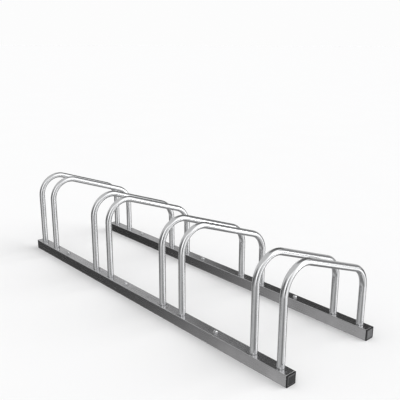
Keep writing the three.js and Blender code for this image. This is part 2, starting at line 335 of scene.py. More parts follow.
@dataclass(frozen=True)
class RailZinc(Finish):
    """Zinc on the square rails: greyer, with fine lines along the rail, brighter on its worn edges.

    The lines come from drawing the tube. A darker, rougher ring is painted round each leg's foot on the
    top face, painted shade where leg and rail meet, and a faint seam runs along the underside, where the
    tube was welded, tinted with the same dark grey. The edge and top bands are shares of half the rail's
    size.
    """

    name: str = "drawn_rail_zinc"
    slot: str = "rail_zinc"
    light: Colour = (0.66, 0.655, 0.665)
    deep: Colour = (0.54, 0.537, 0.545)
    worn: Colour = (0.78, 0.78, 0.79)
    # The grey of the painted shade round the legs; the seam is tinted with it too.
    painted_shade_and_seam: Colour = (0.30, 0.295, 0.29)
    roughness: float = 0.19
    lines: Colour = (5.0, 950.0, 950.0)
    line_depth: float = 0.006 * MM
    cloud_scale: float = 16.0
    grain_scale: float = 420.0
    row_distance: float = 0.150
    half_size: float = 0.015
    slot_pitch: float = 0.332
    leg_offset: float = 0.040
    leg_reach: Span = (9.2 * MM, 12.5 * MM)
    seam_half_width: float = 0.9 * MM
    seam_core: float = 0.3
    edge_band: Span = (0.84, 0.99)
    top_band: Span = (1.9, 1.98)
    underside: Span = (0.4 * MM, 0.1 * MM)
    mottle: Span = (0.3, 0.75)
    wear_share: float = 0.6
    least_leg_shade: float = 0.35
    grain_leg_shade: float = 0.5
    cloud_tint: float = 0.7
    line_tint: float = 0.3
    seam_tint: float = 0.5
    drawn_blur: float = 0.07
    leg_shade_blur: float = 0.2
    seam_blur: float = 0.15
    line_relief: float = 0.7
    grain_relief: float = 0.3
    seam_relief: float = 6.0

    def lay(self, bench: NodeBench) -> None:
        """Adds the finish's nodes.

        Args:
            bench: The bench of the material's node tree.
        """
        places = bench.places()
        along, across, height = bench.axes(places)
        lines = bench.noise(bench.stretched(places, self.lines), 1.0)
        cloud = bench.noise(places, self.cloud_scale, detail=4.0)
        grain = bench.noise(places, self.grain_scale)

        off_centre = abs(abs(across) - self.row_distance)
        off_middle = abs(height - self.half_size)
        edge_start, edge_end = (share * self.half_size for share in self.edge_band)
        edge = off_centre.math("MINIMUM", off_middle).ramp(edge_start, edge_end)
        wear = edge * (grain * self.wear_share + cloud * self.wear_share)

        turns = along / self.slot_pitch
        from_slot = abs((turns - turns.math("FLOOR") - 0.5) * self.slot_pitch)
        from_leg = from_slot - self.leg_offset
        reach = (from_leg * from_leg + off_centre * off_centre).math("SQRT")
        on_top = height.ramp(*(share * self.half_size for share in self.top_band))
        near_leg = reach.ramp(self.leg_reach[1], self.leg_reach[0])
        # Painted shade: a darker, rougher ring round each leg's foot on the top face.
        painted_shade_and_seam = near_leg * on_top * (self.least_leg_shade + grain * self.grain_leg_shade)

        middle = off_centre.ramp(self.seam_half_width, self.seam_core * self.seam_half_width)
        seam = height.ramp(*self.underside) * middle

        tint = (cloud * self.cloud_tint + lines * self.line_tint).ramp(*self.mottle)
        colour = bench.blend(tint, self.light, self.deep)
        colour = bench.blend(wear, colour, self.worn)
        colour = bench.blend(painted_shade_and_seam, colour, self.painted_shade_and_seam)
        blurred = self.roughness + lines * self.drawn_blur + cloud * self.drawn_blur
        relief = lines * self.line_relief + grain * self.grain_relief + seam * self.seam_relief
        bench.surface({
            "Metallic": 1.0,
            "Base Color": bench.blend(seam * self.seam_tint, colour, self.painted_shade_and_seam),
            "Roughness": blurred + painted_shade_and_seam * self.leg_shade_blur + seam * self.seam_blur,
            "Normal": bench.relief(relief, self.line_depth),
        })


@dataclass(frozen=True)
class ScrewZinc(Finish):
    """Zinc on the screws and washers: bright, blotched, with a touch of grain."""

    name: str = "screw_zinc_plate"
    slot: str = "screw_zinc"
    light: Colour = (0.92, 0.925, 0.93)
    deep: Colour = (0.78, 0.785, 0.795)
    roughness: float = 0.16
    blotch_scale: float = 240.0
    grain_scale: float = 1800.0
    grain_depth: float = 0.006 * MM
    mottle: Span = (0.3, 0.75)
    blotch_blur: float = 0.1
    grain_blur: float = 0.05

    def lay(self, bench: NodeBench) -> None:
        """Adds the finish's nodes.

        Args:
            bench: The bench of the material's node tree.
        """
        places = bench.places()
        blotch = bench.noise(places, self.blotch_scale, detail=3.0)
        grain = bench.noise(places, self.grain_scale)
        bench.surface({
            "Metallic": 1.0,
            "Base Color": bench.blend(blotch.ramp(*self.mottle), self.light, self.deep),
            "Roughness": self.roughness + blotch * self.blotch_blur + grain * self.grain_blur,
            "Normal": bench.relief(grain, self.grain_depth),
        })


@dataclass(frozen=True)
class BlackPlastic(Finish):
    """Moulded black plastic, smooth or grained as its fields say."""

    name: str = "smooth_black_plastic"
    slot: str = "black_plastic"
    light: Colour = (0.009, 0.009, 0.010)
    deep: Colour = (0.004, 0.004, 0.005)
    roughness: float = 0.26
    flow_scale: float = 70.0
    grain_scale: float = 1500.0
    grain_depth: float = 0.01 * MM
    shine: float = 0.2
    mottle: Span = (0.3, 0.7)
    flow_tint: float = 0.6
    grain_tint: float = 0.4
    blur: float = 0.08

    def lay(self, bench: NodeBench) -> None:
        """Adds the finish's nodes.

        Args:
            bench: The bench of the material's node tree.
        """
        places = bench.places()
        flow = bench.noise(places, self.flow_scale, detail=3.0)
        grain = bench.noise(places, self.grain_scale, detail=3.0)
        tint = (flow * self.flow_tint + grain * self.grain_tint).ramp(*self.mottle)
        bench.surface({
            "Metallic": 0.0,
            "Specular IOR Level": self.shine,
            "Base Color": bench.blend(tint, self.deep, self.light),
            "Roughness": self.roughness + flow * self.blur + grain * self.blur,
            "Normal": bench.relief(grain, self.grain_depth),
        })


@dataclass(frozen=True)
class StudioFloor(Finish):
    """The pale, matt floor of the studio."""

    name: str = "studio_floor"
    slot: str = ""
    light: Colour = (0.90, 0.90, 0.902)
    deep: Colour = (0.885, 0.885, 0.888)
    roughness: float = 0.9
    mottle_scale: float = 3.0
    mottle_blur: float = 0.1

    def lay(self, bench: NodeBench) -> None:
        """Adds the finish's nodes.

        Args:
            bench: The bench of the material's node tree.
        """
        mottle = bench.noise(bench.places(), self.mottle_scale, detail=3.0)
        bench.surface({
            "Base Color": bench.blend(mottle, self.deep, self.light),
            "Roughness": self.roughness + mottle * self.mottle_blur,
            "Specular IOR Level": 0.0,
        # Builds the studio and the rack.
        })


HOOP_ZINC = HoopZinc()
RAIL_ZINC = RailZinc()
SCREW_ZINC = ScrewZinc()
SMOOTH_PLASTIC = BlackPlastic()
GRAINED_PLASTIC = BlackPlastic(
    name="grained_black_plastic",
    light=(0.024, 0.024, 0.026),
    deep=(0.013, 0.013, 0.014),
    roughness=0.42,
    grain_depth=0.03 * MM,
    shine=0.35,
)
RUBBED_PLASTIC = BlackPlastic(
    name="rubbed_black_plastic",
    light=(0.03, 0.03, 0.032),
    deep=(0.02, 0.02, 0.021),
    roughness=0.2,
    shine=1.0,
)
# The rear plugs' panel: the same black plastic painted paler, a painted sheen where the rear panel
# catches more light.
SHEEN_PAINTED_PLASTIC = BlackPlastic(
    name="sheen_painted_black_plastic",
    light=(0.17, 0.17, 0.174),
    deep=(0.08, 0.08, 0.083),
    roughness=0.40,
    flow_scale=110.0,
    grain_depth=0.03 * MM,
    shine=0.6,
)


# ---- meshes


class Blank:
    """A mesh in the making: rings of points, bridged one to the next, with lids where they end."""

    def __init__(self) -> None:
        """Starts an empty mesh."""
        self.mesh = bmesh.new()

    def bridge(
        self, near: list[bmesh.types.BMVert], far: list[bmesh.types.BMVert], finish: int = 0
    ) -> None:
        """Joins two rings of as many points by a band of faces.

        Args:
            near: The first ring.
            far: The second ring.
            finish: The number of the finish that the band takes.
        """
        for index, corner in enumerate(near):
            following = (index + 1) % len(near)
            face = self.mesh.faces.new((corner, near[following], far[following], far[index]))
            face.material_index = finish

    def stack(
        self, rings: Sequence[Ring], closed: bool = False, finishes: Sequence[int] | None = None
    ) -> None:
        """Adds rings and bridges each to the next.

        Args:
            rings: The rings, each with as many points.
            closed: Whether the last ring is bridged to the first. If not, both get a lid.
            finishes: The finish of each ring's band to the next, or all the first finish.
        """
        bands = list(finishes or [0] * len(rings))
        made = [[self.mesh.verts.new(point) for point in ring] for ring in rings]
        for index in range(len(made) - 1):
            self.bridge(made[index], made[index + 1], bands[index])
        if closed:
            self.bridge(made[-1], made[0], bands[-1])
        else:
            self.mesh.faces.new(made[0]).material_index = bands[0]
            self.mesh.faces.new(made[-1]).material_index = bands[-1]

    def piece(self, name: str) -> bpy.types.Object:
        """Ends the mesh and puts it in the scene.

        Args:
            name: The name of the new object.

        Returns:
            The object.
        """
        bmesh.ops.recalc_face_normals(self.mesh, faces=self.mesh.faces)
        data = bpy.data.meshes.new(name)
        self.mesh.to_mesh(data)
        self.mesh.free()
        made = bpy.data.objects.new(name, data)
        bpy.context.scene.collection.objects.link(made)
        return made


def soften(piece: bpy.types.Object) -> None:
    """Shades a piece smoothly, with flat faces left flat and sharp edges left sharp.

    Args:
        piece: The piece.
    """
    piece.data.shade_smooth()
    piece.data.set_sharp_from_angle(angle=SHARP_ANGLE)
    normals = piece.modifiers.new("flat_faces_stay_flat", "WEIGHTED_NORMAL")
    normals.keep_sharp = True
    normals.weight = FLAT_FACE_WEIGHT


def cut(piece: bpy.types.Object, cutter: bpy.types.Object) -> None:
    """Takes a cutter's solids out of a piece, and removes the cutter.

    Args:
        piece: The piece that is cut.
        cutter: The object whose closed solids are taken away.
    """
    step = piece.modifiers.new("cut", "BOOLEAN")
    step.operation = "DIFFERENCE"
    step.solver = "EXACT"
    step.object = cutter
    whole = piece.evaluated_get(bpy.context.evaluated_depsgraph_get())
    result = bpy.data.meshes.new_from_object(whole)
    piece.modifiers.remove(step)
    before = piece.data
    piece.data = result
    bpy.data.meshes.remove(before)
    bpy.data.meshes.remove(cutter.data)


def circle(radius: float, z: float, sides: int) -> Ring:
    """A level ring round the Z axis."""
    turns = (2 * pi * side / sides for side in range(sides))
    return [Vector((radius * cos(turn), radius * sin(turn), z)) for turn in turns]


def hexagon_radius(turn: float, apothem: float) -> float:
    """The distance from a hexagon's centre to its outline. The first flat faces along 0."""
    sixth = pi / 3
    return apothem / cos((turn + sixth / 2) % sixth - sixth / 2)


def hexagon(apothem: float, z: float, sides: int, drop: float = 0.0, round_radius: float = 0.0) -> Ring:
    """A ring of a hexagon's outline, whose corners may lie lower than its flats.

    Args:
        apothem: Half the width across the flats.
        z: The height of a point at round_radius.
        sides: How many points the ring has.
        drop: How much lower a point lies for each metre that it is past round_radius.
        round_radius: The radius from which the outline starts to drop.

    Returns:
        The ring.
    """
    ring = []
    for side in range(sides):
        turn = 2 * pi * side / sides
        radius = hexagon_radius(turn, apothem)
        height = z - drop * max(0.0, radius - round_radius)
        ring.append(Vector((radius * cos(turn), radius * sin(turn), height)))
    return ring


def rounded_square(side: float, radius: float, x: float, segments: int = 8) -> Ring:
    """A ring in the Y-Z plane: a square with round corners, centred on the X axis.

    Args:
        side: The width of the square.
        radius: The radius of its corners.
        x: Where it lies along X.
        segments: How many steps a corner has.

    Returns:
        The ring.
    """
    reach = side / 2 - radius
    ring = []
    for corner in range(4):
        start = corner * pi / 2
        diagonal = start + pi / 4
        y = reach * sqrt(2) * cos(diagonal)
        z = reach * sqrt(2) * sin(diagonal)
        for step in range(segments + 1):
            turn = start + step / segments * pi / 2
            ring.append(Vector((x, y + radius * cos(turn), z + radius * sin(turn))))
    return ring


@dataclass(frozen=True)
class Thread:
    """A screw thread on a bar or in a bore round the Z axis."""

    radius: float
    depth: float
    pitch: float
    rows_per_turn: int = 6
    blunt_share: float = 0.06

    def rings(self, low: float, high: float, sides: int, point: float = 0.0) -> Iterator[Ring]:
        """The thread's rings, from below.

        Args:
            low: The height of the lowest ring.
            high: The height of the highest ring.
            sides: How many points a ring has.
            point: The length over which the bar narrows to a point at its low end.

        Yields:
            One ring after another.
        """
        rows = ceil((high - low) / self.pitch * self.rows_per_turn)
        for row in range(rows + 1):
            z = low + (high - low) * row / rows
            fade = min(1.0, (z - low) / self.pitch, (high - z) / self.pitch)
            taper = min(1.0, (z - low) / point) if point else 1.0
            ring = []
            for side in range(sides):
                turn = 2 * pi * side / sides
                phase = (z / self.pitch - side / sides) % 1.0
                groove = abs(2 * phase - 1)
                radius = (self.radius - self.depth * groove * fade) * max(taper, self.blunt_share)
                ring.append(Vector((radius * cos(turn), radius * sin(turn), z)))
            yield ring


def moved(rings: Sequence[Ring], place: Matrix) -> list[Ring]:
    """Rings carried to a place."""
    return [[place @ point for point in ring] for ring in rings]


def turned(profile: Sequence[Span], sides: int) -> list[Ring]:
    """The rings of a round piece, from pairs of radius and height."""
    return [circle(radius, z, sides) for radius, z in profile]


def upright(low: Vector, high: Vector) -> Matrix:
    """What carries the Z axis to the middle of a box."""
    return Matrix.Translation(((low.x + high.x) / 2, (low.y + high.y) / 2, 0))


def width(node: str) -> float:
    """The size of a node along X."""
    low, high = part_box(node)
    return high.x - low.x


# ---- sub-assemblies


@dataclass
class SubAssembly(ABC):
    """A part of the rack that is built, dressed and fitted in place of its nodes."""

    pieces: dict[str, bpy.types.Object] = field(default_factory=dict, init=False)

    @abstractmethod
    def build(self) -> None:
        """Makes the meshes."""

    @abstractmethod
    def dress(self) -> None:
        """Gives the pieces their finishes."""

    def keep(
        self,
        node: str,
        suffix: str,
        rings: Sequence[Ring],
        closed: bool = False,
        finishes: Sequence[int] | None = None,
    ) -> bpy.types.Object:
        """Makes the piece that stands for a node.

        Args:
            node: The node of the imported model.
            suffix: What the piece is, for the end of its name.
            rings: The rings of its mesh.
            closed: Whether the last ring is bridged to the first.
            finishes: The finish of each ring's band.

        Returns:
            The piece.
        """
        blank = Blank()
        blank.stack(rings, closed, finishes)
        self.pieces[node] = blank.piece(f"{node}_{suffix}")
        return self.pieces[node]

    def coat(self, piece: bpy.types.Object, *finishes: Finish) -> None:
        """Lays finishes on a piece, and lets it ride on the rack.

        Args:
            piece: The piece.
            finishes: Its finishes, by their numbers in the mesh.
        """
        for finish in finishes:
            piece.data.materials.append(material_of(finish))
        soften(piece)
        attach(piece, BODY)

    def fit(self) -> None:
        """Hides the node that each piece stands for, and reports the piece."""
        for node, piece in self.pieces.items():
            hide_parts(node)
            log.info("%s stands for %s, %d faces", piece.name, node, len(piece.data.polygons))


@dataclass
class Station:
    """A section of a hoop: its centre, its heading above +Y in radians, and how far it is flattened."""

    centre: Vector
    heading: float
    flatness: float = 0.0

    def ring(self, radius: float, sides: int, oval: float) -> Ring:
        """The ring of points round a section.

        Args:
            radius: The radius of the round tube.
            sides: How many points the ring has.
            oval: The share by which a full flattening narrows the tube in the plane of its bend.

        Returns:
            The ring.
        """
        outward = Vector((0, -sin(self.heading), cos(self.heading)))
        deep = radius * (1 - oval * self.flatness)
        wide = radius * (1 + oval / 2 * self.flatness)
        ring = []
        for side in range(sides):
            turn = 2 * pi * side / sides
            offset = Vector((wide * cos(turn), 0, 0)) + outward * (deep * sin(turn))
            ring.append(self.centre + offset)
        return ring


@dataclass
class Hoop(SubAssembly):
    """A bent tube: a tall front leg, a top bar that falls to the rear, and a short rear leg."""

    number: int
    slope: float = radians(19.6)
    bend_radius: float = 62 * MM
    wall: float = 1.2 * MM
    edge_break: float = 0.25 * MM
    oval: float = 0.03
    oval_spread: float = 0.7
    sides: int = 48
    step: float = radians(3.0)

    @property
    def node(self) -> str:
        """The name of the hoop's node."""
        return f"hoop_{self.number}"

    def bend(self, centre: Vector, start: float, end: float) -> Iterator[Station]:
        """The sections of a bend, flattened most in its middle.

        Args:
            centre: The centre of the bend.
            start: The heading where it begins.
            end: The heading where it ends.

        Yields:
            One section after another.
        """
        steps = ceil(abs(end - start) / self.step)
        for step in range(steps + 1):
            share = step / steps
            heading = start + (end - start) * share
            outward = Vector((0, -sin(heading), cos(heading)))
            flatness = sin(pi * share) ** self.oval_spread
            yield Station(centre + outward * self.bend_radius, heading, flatness)

    def stations(self) -> list[Station]:
        """Follows the tube from its front foot to its rear foot.

        Returns:
            Its sections, in that order.
        """
        low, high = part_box(self.node)
        radius = (high.x - low.x) / 2
        x = (low.x + high.x) / 2
        front, rear = low.y + radius, high.y - radius
        front_bend = Vector((x, front + self.bend_radius, high.z - radius - self.bend_radius))
        rear_y = rear - self.bend_radius
        rear_bend = Vector((x, rear_y, front_bend.z - (rear_y - front_bend.y) * tan(self.slope)))
        up, down = pi / 2, -pi / 2
        foot = low.z + self.edge_break
        return [
            Station(Vector((x, front, foot)), up),
            *self.bend(front_bend, up, -self.slope),
            *self.bend(rear_bend, -self.slope, down),
            Station(Vector((x, rear, foot)), down),
        ]

    def build(self) -> None:
        """Makes the tube: its outside from foot to foot, and its bore back again."""
        low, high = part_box(self.node)
        radius = (high.x - low.x) / 2
        bore = radius - self.wall
        stations = self.stations()
        mouths = [
            Station(Vector((foot.centre.x, foot.centre.y, low.z)), foot.heading)
            for foot in (stations[0], stations[-1])
        ]
        outside = [station.ring(radius, self.sides, self.oval) for station in stations]
        inside = [station.ring(bore, self.sides, self.oval) for station in reversed(stations)]
        outer_lips = [mouth.ring(radius - self.edge_break, self.sides, 0) for mouth in mouths]
        inner_lips = [mouth.ring(bore + self.edge_break, self.sides, 0) for mouth in mouths]
        rings = [outer_lips[0], *outside, outer_lips[1], inner_lips[1], *inside, inner_lips[0]]
        self.keep(self.node, "tube", rings, closed=True)

    def dress(self) -> None:
        """Gives the tube its bright zinc."""
        self.coat(self.pieces[self.node], HOOP_ZINC)


@dataclass
class Rail(SubAssembly):
    """A square tube with round holes for the legs, countersunk ones under them, and screw holes."""

    row: Row
    legs: Sequence[float]
    floor_screws: Sequence[float]
    wall: float = 1.5 * MM
    corner_radius: float = 1.6 * MM
    bore_corner_radius: float = 0.5 * MM
    edge_break: float = 0.35 * MM
    leg_clearance: float = 0.3 * MM
    screw_hole_radius: float = 3.3 * MM
    sink_radius: float = 6.42 * MM
    hole_chamfer: float = 0.3 * MM
    hole_sides: int = 48

    @property
    def node(self) -> str:
        """The name of the rail's node."""
        return f"{self.row.value}_rail"

    def build(self) -> None:
        """Makes the tube and cuts its holes."""
        low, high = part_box(self.node)
        side = high.z - low.z
        middle = Matrix.Translation((0, (low.y + high.y) / 2, (low.z + high.z) / 2))
        bore = side - 2 * self.wall
        fine = self.edge_break
        rings = [
            rounded_square(side - 2 * fine, self.corner_radius - fine, low.x),
            rounded_square(side, self.corner_radius, low.x + fine),
            rounded_square(side, self.corner_radius, high.x - fine),
            rounded_square(side - 2 * fine, self.corner_radius - fine, high.x),
            rounded_square(bore, self.bore_corner_radius, high.x),
            rounded_square(bore, self.bore_corner_radius, low.x),
        ]
        tube = self.keep(self.node, "tube", moved(rings, middle), closed=True)
        cut(tube, self.cutter(low, high))

    def cutter(self, low: Vector, high: Vector) -> bpy.types.Object:
        """Everything that is cut out of the rail, as one object of separate solids.

        Args:
            low: The lowest corner of the rail.
            high: The highest corner of the rail.

        Returns:
            The object.
        """
        y = (low.y + high.y) / 2
        past = self.wall
        leg = width("hoop_1") / 2 + self.leg_clearance
        chamfer = self.hole_chamfer
        sink = [
            (self.sink_radius + past, low.z - past),
            (self.sink_radius - self.wall - past, low.z + self.wall + past),
        ]
        blank = Blank()

        def drill(x: float, profile: Sequence[Span]) -> None:
            """Adds a round solid at a place along the rail, from pairs of radius and height."""
            blank.stack(moved(turned(profile, self.hole_sides), Matrix.Translation((x, y, 0))))

        def from_top(radius: float, bottom: float) -> list[Span]:
            """A hole through the top face, with a chamfer at its mouth."""
            mouth = (radius + chamfer + past, high.z + past)
            return [(radius, bottom), (radius, high.z - chamfer), mouth]

        for x in self.legs:
            drill(x, from_top(leg, high.z - self.wall - past))
            drill(x, sink)
        for x in self.floor_screws:
            drill(x, from_top(self.screw_hole_radius, low.z - past))
        return blank.piece(f"{self.node}_cutter")

    def dress(self) -> None:
        """Gives the rail its zinc."""
        self.coat(self.pieces[self.node], RAIL_ZINC)


@dataclass
class EndPlug(SubAssembly):
    """The black plug in a rail's end: a flange with a raised, crowned panel, and a ribbed sleeve."""

    row: Row
    end: End
    corner_radius: float = 1.6 * MM
    flange: float = 2.0 * MM
    fillet: float = 0.4 * MM
    fillet_steps: int = 3
    border: float = 3.3 * MM
    bevel_width: float = 1.8 * MM
    panel_corner_radius: float = 0.8 * MM
    panel_rise: float = 1.0 * MM
    crown: float = 0.35 * MM
    crown_steps: int = 6
    sleeve_side: float = 24.4 * MM
    sleeve_bore: float = 20.8 * MM
    sleeve_corner_radius: float = 1.0 * MM
    rib_side: float = 26.4 * MM
    rib_count: int = 3
    rib_thickness: float = 1.2 * MM
    rib_inset: float = 0.6 * MM

    @property
    def node(self) -> str:
        """The name of the plug's node."""
        return f"{self.row.value}_{self.end.name.lower()}_end_cap"

    def sleeve(self, tip: float, flange_back: float) -> list[Ring]:
        """The rings of the sleeve, from the floor of its bore, round its tip and over its ribs.

        Args:
            tip: The place of the sleeve's tip along the rail.
            flange_back: The place of the flange's inner face.

        Returns:
            The rings.
        """
        chamfer = self.rib_thickness / 4
        outline = [
            (self.sleeve_bore, flange_back),
            (self.sleeve_bore, tip),
            (self.sleeve_side - 2 * chamfer, tip),
            (self.sleeve_side, tip + chamfer),
        ]
        pitch = -tip / self.rib_count
        for rib in range(self.rib_count):
            start = tip + self.rib_inset + rib * pitch
            crest = start + self.rib_thickness
            outline += [
                (self.sleeve_side, start),
                (self.rib_side, crest - chamfer),
                (self.rib_side, crest),
                (self.sleeve_side, crest),
            ]
        outline.append((self.sleeve_side, flange_back))
        return [rounded_square(side, self.sleeve_corner_radius, x) for side, x in outline]

    def face(self, side: float, flange_back: float) -> list[Ring]:
        """The rings of the flange, from its inner face to the border round the panel.

        Args:
            side: The width of the flange.
            flange_back: The place of its inner face.

        Returns:
            The rings.
        """
        fine = self.fillet / 4
        front = flange_back + self.flange
        rings = [
            rounded_square(side - 2 * fine, self.corner_radius - fine, flange_back),
            rounded_square(side, self.corner_radius, flange_back + fine),
        ]
        for step in range(self.fillet_steps + 1):
            turn = step / self.fillet_steps * pi / 2
            inset = self.fillet * (1 - cos(turn))
            x = front - self.fillet * (1 - sin(turn))
            rings.append(rounded_square(side - 2 * inset, self.corner_radius - inset, x))
        return rings

    def panel(self, side: float, front: float) -> list[Ring]:
        """The rings of the raised panel, from its foot on the border to its crowned middle.

        Args:
            side: The width of the flange.
            front: The place of the border's face.

        Returns:
            The rings.
        """
        foot = side - 2 * self.border
        brow = foot - 2 * self.bevel_width
        top = front + self.panel_rise
        corner = self.panel_corner_radius
        rings = [
            rounded_square(foot, corner + self.bevel_width / 2, front),
            rounded_square(brow, corner, top - self.crown),
        ]
        for step in range(1, self.crown_steps):
            left = 1 - step / self.crown_steps
            rings.append(rounded_square(brow * left, corner * left, top - self.crown * left ** 2))
        return rings

    def build(self) -> None:
        """Makes the plug as rings along the rail, in the direction that its end faces."""
        low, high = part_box(self.node)
        _, rail_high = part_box(f"{self.row.value}_rail")
        rail_end = rail_high.x
        reach = max(abs(low.x), abs(high.x))
        inmost = min(abs(low.x), abs(high.x))
        side = high.z - low.z
        front = reach - rail_end - self.panel_rise
        flange_back = front - self.flange
        sleeve = self.sleeve(inmost - rail_end, flange_back)
        face = self.face(side, flange_back)
        panel = self.panel(side, front)
        outward = Matrix.Diagonal((self.end.value, 1, 1, 1))
        middle = (self.end.value * rail_end, (low.y + high.y) / 2, (low.z + high.z) / 2)
        place = Matrix.Translation(middle) @ outward
        finishes = [PlugPart.FLANGE] * (len(sleeve) + len(face))
        finishes += [PlugPart.BEVEL] + [PlugPart.PANEL] * (len(panel) - 1)
        self.keep(self.node, "plug", moved([*sleeve, *face, *panel], place), finishes=finishes)

    def dress(self) -> None:
        """Gives the plug a smooth flange, a rubbed bevel and a grained panel; the rear panel is painted
        paler, a painted sheen.
        """
        # The rear panel's paler plastic is a painted sheen.
        panel = GRAINED_PLASTIC if self.row is Row.FRONT else SHEEN_PAINTED_PLASTIC
        self.coat(self.pieces[self.node], SMOOTH_PLASTIC, RUBBED_PLASTIC, panel)


@dataclass
class Fastening(SubAssembly):
    """Two small pieces of one row and number, both in the screws' zinc."""

    row: Row
    number: int

    def named(self, kind: str) -> str:
        """The name of the node of this kind."""
        return f"{self.row.value}_{kind}_{self.number}"

    def dress(self) -> None:
        """Gives both pieces their zinc."""
        for piece in self.pieces.values():
            self.coat(piece, SCREW_ZINC)


@dataclass
class FloorScrew(Fastening):
    """A hexagon screw through a rail, with the flat washer under its head."""

    head_turn: float
    head_height: float = 4.0 * MM
    across_flats: float = 10.0 * MM
    chamfer_slope: float = tan(radians(30))
    flat_share: float = 0.25
    brow_share: float = 0.82
    taper: float = tan(radians(20))
    dome_steps: int = 5
    edge_break: float = 0.25 * MM
    thread: Thread = Thread(3.0 * MM, 0.75 * MM, 2.4 * MM)
    point: float = 6.0 * MM
    washer_edge: float = 0.2 * MM
    washer_clearance: float = 0.3 * MM
    sides: int = 48

    @property
    def screw_node(self) -> str:
        """The name of the screw's node."""
        return self.named("floor_screw")

    @property
    def washer_node(self) -> str:
        """The name of the washer's node."""
        return self.named("floor_washer")

    def build(self) -> None:
        """Makes the screw and its washer."""
        self.build_screw()
        self.build_washer()

    def build_screw(self) -> None:
        """Makes the screw: point, thread, plain neck, and a hexagon head that tapers to a domed top."""
        low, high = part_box(self.screw_node)
        apothem = self.across_flats / 2
        under_head = high.z - self.head_height
        neck = under_head - self.head_height
        shoulder = under_head + self.head_height * self.flat_share
        rim = apothem - self.edge_break
        brow = under_head + self.head_height * self.brow_share
        brow_radius = rim - (brow - shoulder) * self.taper
        thread_top = neck - self.thread.pitch
        rings = list(self.thread.rings(low.z, thread_top, self.sides, self.point))
        rings += [
            circle(self.thread.radius, neck, self.sides),
            circle(self.thread.radius, under_head, self.sides),
            circle(rim, under_head, self.sides),
            hexagon(apothem, under_head + self.edge_break, self.sides),
            hexagon(apothem, shoulder, self.sides, self.chamfer_slope, rim),
            circle(rim, shoulder, self.sides),
        ]
        for step in range(self.dome_steps):
            turn = step / self.dome_steps * pi / 2
            z = brow + (high.z - brow) * sin(turn)
            rings.append(circle(brow_radius * cos(turn), z, self.sides))
        place = upright(low, high) @ Matrix.Rotation(self.head_turn, 4, "Z")
        self.keep(self.screw_node, "bolt", moved(rings, place))

    def build_washer(self) -> None:
        """Makes the washer, with its edges broken."""
        low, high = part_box(self.washer_node)
        outer = (high.x - low.x) / 2
        inner = self.thread.radius + self.washer_clearance
        fine = self.washer_edge
        profile = [
            (inner, low.z + fine),
            (inner + fine, low.z),
            (outer - fine, low.z),
            (outer, low.z + fine),
            (outer, high.z - 2 * fine),
            (outer - 2 * fine, high.z),
            (inner + fine, high.z),
            (inner, high.z - fine),
        ]
        rings = moved(turned(profile, self.sides), upright(low, high))
        self.keep(self.washer_node, "ring", rings, closed=True)


@dataclass
class LegFixing(Fastening):
    """What holds a leg: a threaded foot in its end, and a countersunk screw from under the rail."""

    head_height: float = 3.0 * MM
    head_land: float = 0.25 * MM
    socket_across_flats: float = 4.0 * MM
    socket_depth: float = 2.4 * MM
    socket_tip_share: float = 0.2
    socket_mouth_share: float = 1.25
    thread: Thread = Thread(3.0 * MM, 0.55 * MM, 1.0 * MM)
    foot_rim: float = 1.5 * MM
    foot_body_gap: float = 1.5 * MM
    foot_bore: float = 3.3 * MM
    foot_mouth: float = 5.3 * MM
    foot_edge: float = 0.3 * MM
    sides: int = 36

    @property
    def screw_node(self) -> str:
        """The name of the screw's node."""
        return self.named("leg_screw")

    @property
    def foot_node(self) -> str:
        """The name of the foot's node."""
        return self.named("foot_insert")

    def build(self) -> None:
        """Makes the screw and the foot."""
        self.build_screw()
        self.build_foot()

    def build_screw(self) -> None:
        """Makes the screw: thread, cone, a thin land round the head, and a hexagon socket."""
        low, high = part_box(self.screw_node)
        head = (high.x - low.x) / 2
        shank = self.thread.radius
        socket = self.socket_across_flats / 2
        socket_top = low.z + self.socket_depth
        cone_top = low.z + self.head_height
        fine = self.head_land
        rings = [
            circle(socket * self.socket_tip_share, socket_top + socket / 2, self.sides),
            hexagon(socket, socket_top, self.sides),
            hexagon(socket, low.z + fine, self.sides),
            circle(socket * self.socket_mouth_share, low.z, self.sides),
            circle(head - fine, low.z, self.sides),
            circle(head - fine / 2, low.z + fine, self.sides),
            circle(shank, cone_top, self.sides),
            *self.thread.rings(cone_top + fine, high.z - fine, self.sides),
            circle(shank - self.thread.depth, high.z, self.sides),
        ]
        self.keep(self.screw_node, "countersunk", moved(rings, upright(low, high)))

    def build_foot(self) -> None:
        """Makes the foot: a rim under the leg's end, and a body up its bore."""
        low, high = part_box(self.foot_node)
        rim = (high.x - low.x) / 2
        body = rim - self.foot_body_gap
        bore, mouth = self.foot_bore, self.foot_mouth
        fine = self.foot_edge
        profile = [
            (mouth, low.z),
            (rim - fine, low.z),
            (rim, low.z + fine),
            (rim, low.z + self.foot_rim),
            (body, low.z + self.foot_rim),
            (body, high.z - 2 * fine),
            (body - fine, high.z),
            (bore + fine, high.z),
            (bore, high.z - fine),
            (bore, low.z + mouth - bore),
        ]
        rings = moved(turned(profile, self.sides), upright(low, high))
        self.keep(self.foot_node, "bush", rings, closed=True)


# ---- studio


def towards(azimuth: float, elevation: float) -> Vector:
    """Turns two angles, both in degrees, into a direction.

    Args:
        azimuth: The angle from +X towards +Y.
        elevation: The angle above the level.

    Returns:
        The direction, as a vector of length 1.
    """
    turn, rise = radians(azimuth), radians(elevation)
    level = cos(rise)
    return Vector((level * cos(turn), level * sin(turn), sin(rise)))


